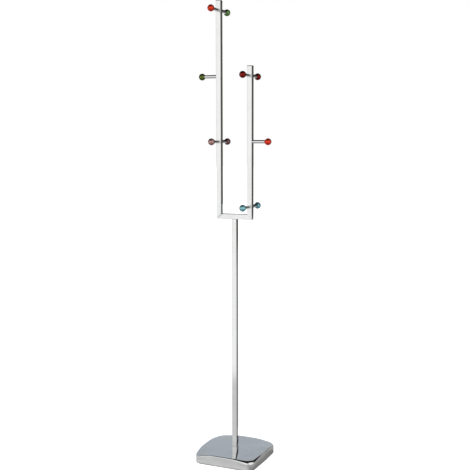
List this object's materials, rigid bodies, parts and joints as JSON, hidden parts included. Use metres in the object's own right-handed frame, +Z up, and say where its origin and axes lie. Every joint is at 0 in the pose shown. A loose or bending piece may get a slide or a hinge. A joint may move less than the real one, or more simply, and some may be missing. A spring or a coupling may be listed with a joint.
{
  "type": "standing coat rack",
  "caption": "Free-standing coat rack: weighted pillow-shaped foot, square chromed post, a two-arm fork of unequal heights and round pegs tipped with coloured balls.",
  "frame": {"origin": "on the floor, under the middle of the foot and the post's axis", "axes": "+Z up along the post; +X along the crossbar towards the shorter arm; -Y is the front, where the front pegs point"},
  "size_m": [0.3028, 0.26, 1.8],
  "materials": {
    "chrome": "mirror-bright chrome plate on steel",
    "zinc_steel": "bright zinc plate, slightly dull",
    "cast_iron": "rough sand casting, thin black paint",
    "black_sheet": "black powder coat with a fine orange peel",
    "black_rubber": "matt moulded rubber",
    "cap_plastic": "satin moulded plastic, dark warm grey",
    "red_ball": "bright dyed anodised aluminium, bright red",
    "green_ball": "bright dyed anodised aluminium, grass green",
    "olive_ball": "bright dyed anodised aluminium, olive green",
    "rose_ball": "bright dyed anodised aluminium, dusty rose",
    "plum_ball": "bright dyed anodised aluminium, plum",
    "maroon_ball": "bright dyed anodised aluminium, deep maroon red",
    "orange_ball": "bright dyed anodised aluminium, orange red",
    "turquoise_ball": "bright dyed anodised aluminium, light turquoise",
    "teal_ball": "bright dyed anodised aluminium, teal blue"
  },
  "bodies": {
    "root": {"ballast_weight": "cast_iron", "base_cover": "chrome", "bottom_plate": "black_sheet", "crossbar": "chrome", "flat_washer": "zinc_steel", "foot_pad_front_left": "black_rubber", "foot_pad_front_right": "black_rubber", "foot_pad_rear_left": "black_rubber", "foot_pad_rear_right": "black_rubber", "joining_spigot": "zinc_steel", "joint_screw_lower": "zinc_steel", "joint_screw_upper": "zinc_steel", "left_arm": "chrome", "left_arm_cap": "cap_plastic", "left_low_front_ball": "rose_ball", "left_low_front_ball_stud": "zinc_steel", "left_low_front_peg": "chrome", "left_low_rear_ball": "plum_ball", "left_low_rear_ball_stud": "zinc_steel", "left_low_rear_peg": "chrome", "left_low_through_stud": "zinc_steel", "left_middle_side_ball": "olive_ball", "left_middle_side_ball_stud": "zinc_steel", "left_middle_side_peg": "chrome", "left_middle_side_peg_stud": "zinc_steel", "left_middle_side_rivet_nut": "zinc_steel", "left_top_front_ball": "red_ball", "left_top_front_ball_stud": "zinc_steel", "left_top_front_peg": "chrome", "left_top_rear_ball": "green_ball", "left_top_rear_ball_stud": "zinc_steel", "left_top_rear_peg": "chrome", "left_top_through_stud": "zinc_steel", "post": "chrome", "post_bolt": "zinc_steel", "post_nut_plug": "zinc_steel", "right_arm": "chrome", "right_arm_cap": "cap_plastic", "right_low_front_ball": "turquoise_ball", "right_low_front_ball_stud": "zinc_steel", "right_low_front_peg": "chrome", "right_low_rear_ball": "teal_ball", "right_low_rear_ball_stud": "zinc_steel", "right_low_rear_peg": "chrome", "right_low_through_stud": "zinc_steel", "right_middle_side_ball": "orange_ball", "right_middle_side_ball_stud": "zinc_steel", "right_middle_side_peg": "chrome", "right_middle_side_peg_stud": "zinc_steel", "right_middle_side_rivet_nut": "zinc_steel", "right_top_front_ball": "maroon_ball", "right_top_front_ball_stud": "zinc_steel", "right_top_front_peg": "chrome", "right_top_rear_ball": "maroon_ball", "right_top_rear_ball_stud": "zinc_steel", "right_top_rear_peg": "chrome", "right_top_through_stud": "zinc_steel", "spring_washer": "zinc_steel"}
  },
  "joints": []
}
